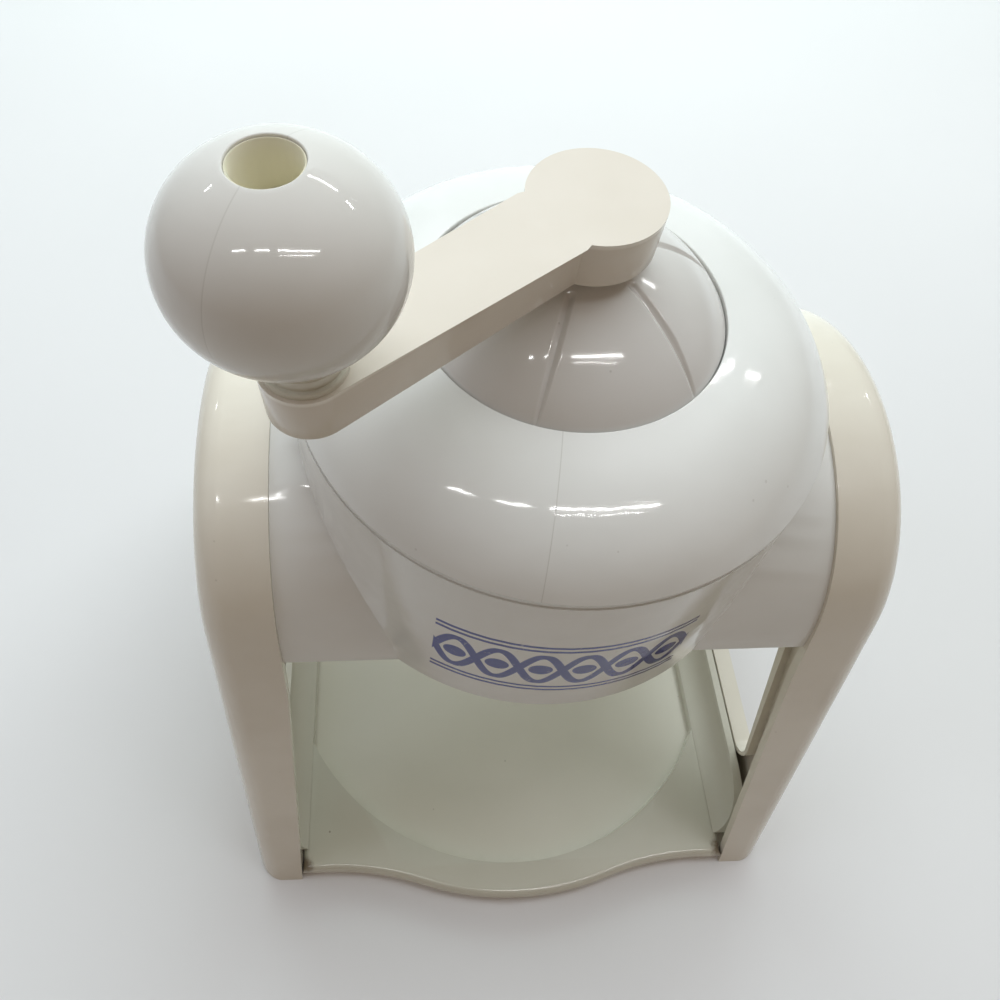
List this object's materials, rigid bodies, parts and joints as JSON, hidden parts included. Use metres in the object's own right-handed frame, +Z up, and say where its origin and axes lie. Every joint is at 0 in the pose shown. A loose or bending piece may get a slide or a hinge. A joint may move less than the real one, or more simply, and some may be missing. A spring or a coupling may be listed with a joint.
{
  "type": "hand cranked ice shaver",
  "caption": "Table ice shaver: round ice chamber on two splayed side panels over a tray, with a domed lid, a top crank and a ball knob.",
  "frame": {"origin": "middle of the tray's underside, where the shaver rests, on the vertical crank axis", "axes": "+Z up along the crank shaft, +X through the right side panel, +Y to the back"},
  "size_m": [0.176, 0.2076, 0.2514],
  "materials": {
    "ivory_tray": "moulded gloss, grey green beige",
    "ivory_panel": "moulded gloss, yellowed ivory",
    "ivory_crank": "moulded gloss, ivory",
    "ivory_pin": "moulded gloss, ivory",
    "ivory_holder": "moulded satin, ivory",
    "ivory_presser": "moulded gloss, ivory",
    "white_housing": "moulded gloss, white",
    "white_chamber": "moulded gloss, white",
    "white_lid": "moulded gloss, white",
    "white_dome": "moulded gloss, white",
    "white_knob": "moulded gloss, white",
    "bush_plastic": "turned satin plastic",
    "grey_rubber": "matt grey rubber",
    "steel": "zinc plated steel",
    "blade_steel": "ground stainless steel",
    "shaft_steel": "drawn steel bar",
    "spring_steel": "spring wire"
  },
  "bodies": {
    "base": {"base_tray": "ivory_tray", "rubber_feet": "grey_rubber", "left_side_panel": "ivory_panel", "right_side_panel": "ivory_panel", "tray_screws": "steel", "housing": "white_housing", "housing_screws": "steel", "ice_chamber": "white_chamber", "blade": "blade_steel", "blade_holder": "ivory_holder", "blade_screws": "steel"},
    "lid": {"lid_ring": "white_lid", "lid_dome": "white_dome", "shaft_bush": "bush_plastic"},
    "crank": {"crank_arm": "ivory_crank", "drive_shaft": "shaft_steel", "shaft_clip": "steel", "spring_seat": "steel", "presser_stop": "steel", "pressure_spring": "spring_steel", "knob_collar": "ivory_crank", "knob_pin": "ivory_pin"},
    "presser": {"presser_disc": "ivory_presser", "presser_spikes": "steel"},
    "knob": {"knob_ball": "white_knob"}
  },
  "joints": [
    {"name": "lid_lift", "type": "slide", "parent": "base", "child": "lid", "axis": [0, 0, 1], "range_m": [0, 0.056]},
    {"name": "crank_spin", "type": "hinge", "parent": "lid", "child": "crank", "pos_m": [0, 0, 0.2], "axis": [0, 0, 1], "continuous": true},
    {"name": "presser_slide", "type": "slide", "parent": "crank", "child": "presser", "axis": [0, 0, 1], "range_m": [0, 0.03], "stiffness_N_per_m": 150, "springref_m": -0.015, "deforming": ["pressure_spring"]},
    {"name": "knob_spin", "type": "hinge", "parent": "crank", "child": "knob", "pos_m": [-0.0495, -0.0365, 0.237], "axis": [0, 0, 1], "continuous": true}
  ]
}
